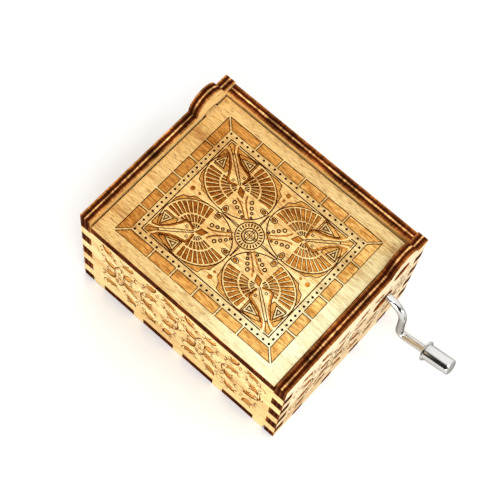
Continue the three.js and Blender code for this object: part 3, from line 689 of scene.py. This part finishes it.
def face_loops(node, u_axis, v_axis):
    """The edges of a board's outer face as loops with the wood on their left, in mm."""
    outward = u_axis.cross(v_axis)
    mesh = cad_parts[node].data
    top = max(v.co.dot(outward) for v in mesh.vertices)
    following = {}
    edges = set()
    places = {}
    for polygon in mesh.polygons:
        if any(mesh.vertices[i].co.dot(outward) < top - 1e-6 for i in polygon.vertices):
            continue
        keys = []
        for i in polygon.vertices:
            co = mesh.vertices[i].co
            key = (round(co.dot(u_axis) * 1e4), round(co.dot(v_axis) * 1e4))
            places[key] = Vector((co.dot(u_axis) / MM, co.dot(v_axis) / MM))
            keys.append(key)
        edges.update(zip(keys, keys[1:] + keys[:1]))
    for a, b in edges:
        if (b, a) not in edges:
            following[a] = b
    loops = []
    while following:
        start = min(following)
        loop, key = [], start
        while key in following:
            loop.append(places[key])
            key = following.pop(key)
        loops.append(loop)
    return loops, top / MM


def triangles(loops, shapes=()):
    """Triangles inside the loops, each with the number of the last shape over it, or -1."""
    coords, faces = [], []
    for polygon in [loop if area(loop) > 0 else loop[::-1] for loop in loops] + list(shapes):
        faces.append(list(range(len(coords), len(coords) + len(polygon))))
        coords.extend(polygon)
    outer = max(range(len(loops)), key=lambda k: abs(area(loops[k])))
    places, _, found, _, _, origins = delaunay_2d_cdt(coords, [], faces, 0, 1e-6)
    kept = []
    for corners, over in zip(found, origins):
        holes = [k for k in over if k < len(loops) and k != outer]
        if outer in over and not holes:
            kept.append((corners, max(over) - len(loops) if max(over) >= len(loops) else -1))
    return places, kept


def engraved_board(node, body, u_axis, v_axis, drawing, materials):
    """A board cut like its CAD node, with a drawing engraved in its outer face."""
    u_axis, v_axis = Vector(u_axis), Vector(v_axis)
    outward = u_axis.cross(v_axis)
    loops, top = face_loops(node, u_axis, v_axis)
    low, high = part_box(node)
    thickness = abs((high - low).dot(outward)) / MM
    rims = [offset_left(loop, CHAMFER) for loop in loops]

    points, index_of = [], {}
    faces, slots = [], []

    def vertex(place, depth):
        key = (round(place.x, 4), round(place.y, 4), round(depth, 4))
        if key not in index_of:
            index_of[key] = len(points)
            points.append((u_axis * place.x + v_axis * place.y + outward * (top - depth)) * MM)
        return index_of[key]

    def face(corners, slot):
        corners = list(dict.fromkeys(corners))
        if len(corners) > 2:
            faces.append(corners)
            slots.append(slot)

    # the engraved face, and the walls between its levels
    places, found = triangles(rims, [polygon for _, polygon in drawing.shapes])
    level_beside = {}
    for corners, shape in found:
        level = KINDS.index(drawing.shapes[shape][0]) if shape >= 0 else 0
        face([vertex(places[c], LEVEL_DEPTHS[level]) for c in corners], level)
        for pair in zip(corners, corners[1:] + corners[:1]):
            level_beside[pair] = level
    for (a, b), level in level_beside.items():
        across = level_beside.get((b, a), level)
        for step in range(max(level, 1), across):
            near, far = LEVEL_DEPTHS[step], LEVEL_DEPTHS[step + 1]
            face([vertex(places[a], far), vertex(places[b], far),
                  vertex(places[b], near), vertex(places[a], near)], LINE_SLOT)

    # its chamfered edges and the cut sides
    for loop, rim in zip(loops, rims):
        rows = [(rim, 0.0), (loop, CHAMFER), (loop, thickness - CHAMFER), (rim, thickness)]
        for (upper, near), (lower, far) in zip(rows, rows[1:]):
            for k in range(len(loop)):
                following = (k + 1) % len(loop)
                face([vertex(lower[k], far), vertex(lower[following], far),
                      vertex(upper[following], near), vertex(upper[k], near)], EDGE_SLOT)

    # the inner face
    places, found = triangles(rims)
    for corners, _ in found:
        face([vertex(places[c], thickness) for c in reversed(corners)], INNER_SLOT)

    mesh = bpy.data.meshes.new(node + "_engraved")
    mesh.from_pydata(points, [], faces)
    mesh.polygons.foreach_set("material_index", slots)
    for material in materials:
        mesh.materials.append(material)
    mesh.update()
    board = in_scene(node + "_engraved", mesh)
    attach(board, body)
    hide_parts(node)


def board_materials(node, grain_axis, thickness_axis, tones=PLAIN_TONE, fill_tones=PLAIN_TONE,
                    deep_tones=PLAIN_TONE, cuts=WALL_CUTS, rim=OUTER_PLY, inner_tone=PLAIN_TONE):
    """One material for each slot of an engraved board."""
    return [
        face_material(node + "_face", grain_axis, tones),
        face_material(node + "_ground", grain_axis, tones, GROUND),
        engraved_material(node + "_fill", grain_axis, fill_tones, *cuts["fill"]),
        engraved_material(node + "_deep", grain_axis, deep_tones, *cuts["deep"]),
        engraved_material(node + "_line", grain_axis, fill_tones, *cuts["line"]),
        engraved_material(node + "_dot", grain_axis, PLAIN_TONE, *DOT_CUT),
        edge_material(node, thickness_axis, rim),
        face_material(node + "_inner", grain_axis, inner_tone),
    ]


def make_boards():
    """All six boards; the drawings are placed in millimetres on the boards' outer faces."""
    x, y, z = Vector((1, 0, 0)), Vector((0, 1, 0)), Vector((0, 0, 1))
    # The lid's tones are painted light: darker on its left, lit and paled by painted sheen on its
    # right.
    lid_wood = board_materials("lid", 0, 2, LID_PAINTED_LIGHT_TONES, FILL_PAINTED_LIGHT_TONES, DEEP_PAINTED_LIGHT_TONES, LID_CUTS,
                               LID_OUTER_PLY)
    engraved_board("lid", "lid", x, y, lid_ornament((0, -1.75)), lid_wood)

    wide = dict(first_tile=-19.6, tiles=4, first_is_ring=False, left=-28.4, right=28.4)
    front = wall_ornament(low=5.6, high=31.3, **wide)
    # The front board's lighter tone is painted light.
    engraved_board("front_panel", "case", x, z, front,
                   board_materials("front_panel", 0, 1, FRONT_LIT_TONE))
    back = wall_ornament(low=5.6, high=35.6, **wide)
    engraved_board("back_panel", "case", -x, z, back,
                   board_materials("back_panel", 0, 1, inner_tone=BACK_INNER_TONE))

    ear_y, ear_z, ear_clear = 16.6, 33.5, 3.5
    crank_hole = (12.1, 22.4, 4.2)
    deep = dict(first_tile=-19.65, tiles=4, first_is_ring=True, low=5.6, high=31.6,
                left=-22, right=22)
    left = wall_ornament(keep_out=[(-ear_y, ear_z, ear_clear)], **deep)
    engraved_board("left_panel", "case", -y, z, left,
                   board_materials("left_panel", 1, 0, rim=LEFT_OUTER_PLY))
    right = wall_ornament(keep_out=[(ear_y, ear_z, ear_clear), crank_hole], **deep)
    # The right board's paler tone is painted sheen, and its darker cuts are painted shade.
    engraved_board("right_panel", "case", y, z, right,
                   board_materials("right_panel", 1, 0, RIGHT_SHEEN_TONE, cuts=RIGHT_SHADED_CUTS))

    bare_wood = face_material("bottom_panel_face", 0, PLAIN_TONE)
    bottom = refined("bottom_panel", "case", bare_wood, 0.1)
    bottom.data.materials.append(edge_material("bottom_panel", 2))
    for polygon in bottom.data.polygons:
        polygon.material_index = 0 if abs(polygon.normal.z) > 0.9 else 1


# ---- metal pieces -------------------------------------------------------------------------

# The nickel's grazing of 0.25 is painted shade: its reflection darkens along the sides of the wire and
# knob.
NICKEL = metal_material("nickel", (0.62, 0.61, 0.59), 0.13, 0.05, 500, grazing=0.25)
STEEL = metal_material("ground_steel", (0.50, 0.505, 0.52), 0.3, 0.08, 700, (0.1, 1, 1))
CASTING = metal_material("zinc_casting", (0.36, 0.36, 0.355), 0.45, 0.1, 1600)
BRASS = metal_material("turned_brass", (0.82, 0.60, 0.26), 0.24, 0.06, 1200)
NYLON = plastic_material("nylon", rgba(0.84, 0.82, 0.75), rgba(0.78, 0.75, 0.66), 0.42)
RESIN = plastic_material("resin", rgba(0.09, 0.04, 0.018), rgba(0.05, 0.02, 0.01), 0.5, 0.3)

CORNER_ANGLE = radians(35)

# Places and sizes in millimetres.
CRANK_Y, CRANK_Z = 13.6, 22.95
CYLINDER_X, CYLINDER_Z = 8.0, 13.6
CYLINDER_RADIUS, CYLINDER_HALF = 6.5, 9.4
ARBOR_BORE = 1.15
FILLING_RADIUS = 5.75

ALONG_CRANK = Matrix.Translation((0, CRANK_Y, CRANK_Z)) @ Matrix.Rotation(pi / 2, 4, "Y")
ALONG_CYLINDER = (Matrix.Translation((CYLINDER_X, 0, CYLINDER_Z))
                  @ Matrix.Rotation(-pi / 2, 4, "X"))


def finished(name, mesh, body, node, material, bevel):
    """Shades a mesh smooth up to its corners, rounds them, and puts it in a CAD node's place."""
    for polygon in mesh.polygons:
        polygon.use_smooth = True
    mesh.set_sharp_from_angle(angle=CORNER_ANGLE)
    mesh.materials.clear()
    mesh.materials.append(material)
    obj = in_scene(name, mesh)
    if bevel:
        rounding = obj.modifiers.new("rounding", "BEVEL")
        rounding.width = bevel * MM
        rounding.segments = 2
        rounding.limit_method = "ANGLE"
        rounding.angle_limit = CORNER_ANGLE
        rounding.harden_normals = True
    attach(obj, body)
    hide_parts(node)
    return obj


def rings_mesh(name, rings, closed):
    """A skin over rings of points; closed joins the last ring to the first, otherwise the ends
    are capped."""
    shape = bmesh.new()
    rows = [[shape.verts.new(Vector(p) * MM) for p in ring] for ring in rings]
    pairs = list(zip(rows, rows[1:])) + ([(rows[-1], rows[0])] if closed else [])
    for lower, upper in pairs:
        for k in range(max(len(lower), len(upper))):
            corners = [lower[k % len(lower)], lower[(k + 1) % len(lower)],
                       upper[(k + 1) % len(upper)], upper[k % len(upper)]]
            corners = list(dict.fromkeys(corners))
            if len(corners) > 2:
                shape.faces.new(corners)
    if not closed:
        for row in (rows[0], rows[-1]):
            if len(row) > 2:
                shape.faces.new(row)
    bmesh.ops.recalc_face_normals(shape, faces=shape.faces)
    mesh = bpy.data.meshes.new(name)
    shape.to_mesh(mesh)
    shape.free()
    return mesh


def lathe_rings(profile, place, sides):
    """Rings round the Z axis for a list of (radius, height), moved by a matrix."""
    rings = []
    for radius, height in profile:
        turns = full_turn(sides) if radius > 0 else [0]
        rings.append([place @ Vector((radius * cos(t), radius * sin(t), height)) for t in turns])
    return rings


def turned(name, profile, place, body, node, material, bevel=0.06):
    """A turned piece. A profile that ends where it starts is a ring; otherwise it is solid."""
    closed = profile[0] == profile[-1]
    if closed:
        profile = profile[:-1]
    mesh = rings_mesh(name, lathe_rings(profile, place, sides=64), closed)
    finished(name, mesh, body, node, material, bevel)


def refined(node, body, material, bevel):
    """The CAD node's own shape with its triangles merged into flat faces and its corners rounded."""
    shape = bmesh.new()
    shape.from_mesh(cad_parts[node].data)
    bmesh.ops.remove_doubles(shape, verts=shape.verts, dist=0.002 * MM)
    bmesh.ops.dissolve_limit(shape, angle_limit=radians(0.5), verts=shape.verts, edges=shape.edges)
    mesh = bpy.data.meshes.new(node + "_finished")
    shape.to_mesh(mesh)
    shape.free()
    return finished(node + "_finished", mesh, body, node, material, bevel)


# ---- crank --------------------------------------------------------------------------------

WIRE_RADIUS = 1.05
WIRE_START_X, ARM_X = -3.0, 38.1
ARM_BEND, ARM_TURN = 5.85, radians(85.8)
PIN_BEND, PIN_TILT = 1.6, radians(15.9)
PIN_LENGTH = 13.2
WIRE_HEAD_RADIUS = 1.5

# The wire's parts from its inner end: the length and the curvature of each.
WIRE_PARTS = (
    (ARM_X - ARM_BEND - WIRE_START_X, 0),
    (ARM_BEND * ARM_TURN, -1 / ARM_BEND),
    (6.65, 0),
    (PIN_BEND * (ARM_TURN + PIN_TILT), 1 / PIN_BEND),
    (PIN_LENGTH + 1, 0),
)


def crank_place(distance):
    """Point and heading on the wire's centre line, a distance from its inner end, in the X-Z plane."""
    x, z, heading = WIRE_START_X, 0.0, 0.0
    for length, curvature in WIRE_PARTS:
        step = min(distance, length)
        bend = curvature * step
        chord = 2 * sin(bend / 2) / curvature if curvature else step
        x += chord * cos(heading + bend / 2)
        z += chord * sin(heading + bend / 2)
        heading += bend
        distance -= step
        if distance <= 0:
            break
    return x, z, heading


def wire_ring(distance, radius):
    x, z, heading = crank_place(distance)
    across = Vector((-sin(heading), 0, cos(heading)))
    centre = Vector((x, CRANK_Y, CRANK_Z + z))
    return [centre + (across * cos(turn) + Vector((0, 1, 0)) * sin(turn)) * radius
            for turn in full_turn(28)]


def make_crank():
    """The bent wire with its riveted head, and the hollow knob that turns on the wire's pin."""
    pin_start = sum(length for length, _ in WIRE_PARTS[:-1])
    head = pin_start + PIN_LENGTH
    steps = 150
    rows = [(0.0, WIRE_RADIUS - 0.2), (0.2, WIRE_RADIUS)]
    rows += [(0.2 + (head - 1.0) * k / steps, WIRE_RADIUS) for k in range(1, steps)]
    rows += [(head - 0.8, WIRE_RADIUS), (head - 0.78, WIRE_HEAD_RADIUS),
             (head - 0.05, WIRE_HEAD_RADIUS), (head + 0.1, WIRE_HEAD_RADIUS - 0.2)]
    wire = rings_mesh("crank_wire_bent", [wire_ring(*row) for row in rows], closed=False)
    finished("crank_wire_bent", wire, "crank", "crank_wire", NICKEL, 0)

    x, z, _ = crank_place(pin_start)
    along_pin = (Matrix.Translation((x, CRANK_Y, CRANK_Z + z))
                 @ Matrix.Rotation(pi / 2 - PIN_TILT, 4, "Y"))
    start, end = 6.5, 14.4
    mouth, hollow = WIRE_RADIUS + 0.2, 1.7
    profile = [
        (mouth, start), (2.62, start), (2.75, start + 0.1), (2.75, start + 0.3), (2.65, start + 0.4),
        (2.3, start + 0.44), (2.17, start + 0.55), (2.15, start + 0.75), (2.15, end - 0.4),
        (2.11, end - 0.22), (2.0, end - 0.09), (1.82, end - 0.02), (1.6, end), (0, end),
        (0, end - 0.8), (hollow, end - 0.8), (hollow, start + 4.8), (mouth, start + 4.5),
    ]
    knob = rings_mesh("crank_knob_drawn", lathe_rings(profile, along_pin, 72), closed=True)
    finished("crank_knob_drawn", knob, "knob", "crank_knob", NICKEL, 0)


# ---- movement -----------------------------------------------------------------------------

NOTES, BEATS = 18, 4
WHEEL_PITCH_RADIUS, WHEEL_TEETH = 6.45, 20
WORM_HALF = 6.5
WORM_ROOT, THREAD_HEIGHT = 2.15, 1.3
WORM_BORE = 1.2


def pinned_cylinder():
    """A brass tube with one pin for each note and beat, one millimetre apart along it."""
    outer, inner, half = CYLINDER_RADIUS, CYLINDER_RADIUS - 0.6, CYLINDER_HALF
    place = ALONG_CYLINDER
    profile = [(inner, -half), (outer - 0.1, -half), (outer, 0.1 - half), (outer, half - 0.1),
               (outer - 0.1, half), (inner, half)]
    shape = bmesh.new()
    shape.from_mesh(rings_mesh("tube", lathe_rings(profile, place, 96), closed=True))
    for note in range(NOTES):
        along = note - (NOTES - 1) / 2
        for beat in range(BEATS):
            turn = ((note * 7) % NOTES + beat * NOTES) * 2 * pi / (NOTES * BEATS)
            stand = (place @ Matrix.Translation((0, 0, along)) @ Matrix.Rotation(turn, 4, "Z")
                     @ Matrix.Rotation(pi / 2, 4, "Y"))
            pin = [(0, outer - 0.3), (0.2, outer - 0.3), (0.19, outer + 0.42), (0.13, outer + 0.52),
                   (0, outer + 0.55)]
            shape.from_mesh(rings_mesh("pin", lathe_rings(pin, stand, 8), closed=False))
    mesh = bpy.data.meshes.new("pinned_cylinder_turned")
    shape.to_mesh(mesh)
    shape.free()
    finished(mesh.name, mesh, "cylinder", "pinned_cylinder", BRASS, 0)


def worm():
    """A single-start thread that runs along the crank's wire."""
    lead = 2 * pi * WHEEL_PITCH_RADIUS / WHEEL_TEETH
    sides, rows = 56, 150
    rings = []

    def radius_at(x, angle):
        turn = (angle + pi / 2) / (2 * pi)
        phase = (x / lead - turn) % 1
        share = min(1, max(0, (0.29 - abs(phase - 0.5)) / 0.17))
        share = share * share * (3 - 2 * share)
        return WORM_ROOT + THREAD_HEIGHT * share

    for row in range(rows + 1):
        x = -WORM_HALF + 2 * WORM_HALF * row / rows
        ring = []
        for angle in full_turn(sides):
            radius = radius_at(x, angle)
            ring.append((CYLINDER_X + x, CRANK_Y + radius * cos(angle), CRANK_Z + radius * sin(angle)))
        rings.append(ring)
    for x in (WORM_HALF, -WORM_HALF):
        rings.append([(CYLINDER_X + x, CRANK_Y + WORM_BORE * cos(angle),
                       CRANK_Z + WORM_BORE * sin(angle)) for angle in full_turn(sides)])
    mesh = rings_mesh("worm_cut", rings, closed=True)
    finished("worm_cut", mesh, "crank", "worm", BRASS, 0)


def make_movement():
    refined("bedplate", "case", CASTING, 0.2)
    refined("comb", "case", STEEL, 0.05)
    refined("worm_wheel", "cylinder", NYLON, 0.08)
    refined("crank_clip", "crank", STEEL, 0.05)
    for end in ("front", "back"):
        refined(end + "_arbor_bracket", "case", STEEL, 0.12)
        refined(end + "_comb_screw", "case", NICKEL, 0.06)
        refined(end + "_bracket_screw", "case", NICKEL, 0.05)
    for number in (1, 2, 3):
        refined(f"mount_screw_{number}", "case", NICKEL, 0.05)

    pinned_cylinder()
    worm()
    for end, sign in (("front", -1), ("back", 1)):
        inner = CYLINDER_HALF - 1.3
        cap = [(ARBOR_BORE, inner), (FILLING_RADIUS, inner), (FILLING_RADIUS, inner + 1.3),
               (2.4, inner + 1.3), (2.4, inner + 1.6), (ARBOR_BORE, inner + 1.6), (ARBOR_BORE, inner)]
        turned(end + "_cap_turned", [(r, sign * h) for r, h in cap], ALONG_CYLINDER, "cylinder",
               end + "_cylinder_cap", BRASS)
    half = CYLINDER_HALF - 1.5
    filling = [(ARBOR_BORE, -half), (FILLING_RADIUS, -half), (FILLING_RADIUS, half),
               (ARBOR_BORE, half), (ARBOR_BORE, -half)]
    turned("filling_cast", filling, ALONG_CYLINDER, "cylinder", "cylinder_filling", RESIN)
    turned("arbor_turned", [(0, -12.9), (1, -12.9), (1, 18.6), (0, 18.6)], ALONG_CYLINDER, "cylinder",
           "cylinder_arbor", STEEL, bevel=0.2)
    for name, post, sign in (("inner", -1.8, 1), ("outer", 15.8, -1)):
        face, back = (post + 2.5, post) if sign > 0 else (post - 0.5, post + 2)
        bush = [(1.25, back), (1.9, back), (1.9, face - 0.45 * sign), (2.6, face - 0.45 * sign),
                (2.6, face), (1.25, face), (1.25, back)]
        turned(name + "_bush_turned", bush, ALONG_CRANK, "case", name + "_crank_bush", BRASS,
               bevel=0.08)


# ---- floor and light ----------------------------------------------------------------------

# The floor's half width and its height, in metres.
FLOOR_HALF = 12.0
FLOOR_TOP = -0.00005
SKY_HEADING = (0.0, 0.55, 0.83)


def make_floor():
    """A wide, nearly even white floor, a hair under the box."""
    corners = [(x * FLOOR_HALF, y * FLOOR_HALF, FLOOR_TOP)
               for x, y in ((-1, -1), (1, -1), (1, 1), (-1, 1))]
    mesh = bpy.data.meshes.new("floor")
    mesh.from_pydata(corners, [], [(0, 1, 2, 3)])
    nodes = Nodes("floor")
    cloud = nodes.noise((3, 3, 3), detail=2)
    nodes.shade(Base_Color=nodes.ramp(cloud, (0.3, grey(0.86)), (0.7, grey(0.88))), Roughness=0.8)
    mesh.materials.append(nodes.owner)
    floor = in_scene("floor", mesh)


def area_light(name, place, aim, size, watts):
    data = bpy.data.lights.new(name, "AREA")
    data.shape = "RECTANGLE"
    data.size, data.size_y = size
    data.energy = watts
    light = in_scene(name, data)
    light.visible_camera = False
    light.location = Vector(place)
    light.rotation_euler = (Vector(aim) - Vector(place)).to_track_quat("-Z", "Y").to_euler()


def make_light():
    """A bright sky above and behind, a dark one low in front, and three soft lamps. The camera
    itself sees the sky an even grey."""
    nodes = Nodes("studio", bpy.data.worlds, "Background")
    place = nodes.add("ShaderNodeTexCoord").outputs["Generated"]
    toward = nodes.add("ShaderNodeVectorMath", {0: place, 1: SKY_HEADING}, operation="DOT_PRODUCT")
    sky = nodes.ramp(toward.outputs["Value"], (0.34, grey(0.02)), (0.62, grey(1.0)))
    in_view = nodes.add("ShaderNodeLightPath").outputs["Is Camera Ray"]
    nodes.shade(Color=nodes.mix(in_view, sky, grey(0.6)), Strength=1.42)
    bpy.context.scene.world = nodes.owner
    area_light("key", (0.12, -0.16, 0.40), (0, 0, 0.02), (0.2, 0.2), 0.9)
    area_light("right_fill", (0.45, 0.06, 0.07), (0, 0, 0.02), (0.2, 0.1), 0.4)
    area_light("front_fill", (0.22, -0.42, 0.07), (0, 0, 0.02), (0.2, 0.1), 1.5)
    bpy.context.scene.view_settings.view_transform = "Standard"


make_camera()
make_boards()
make_crank()
make_movement()
make_floor()
make_light()
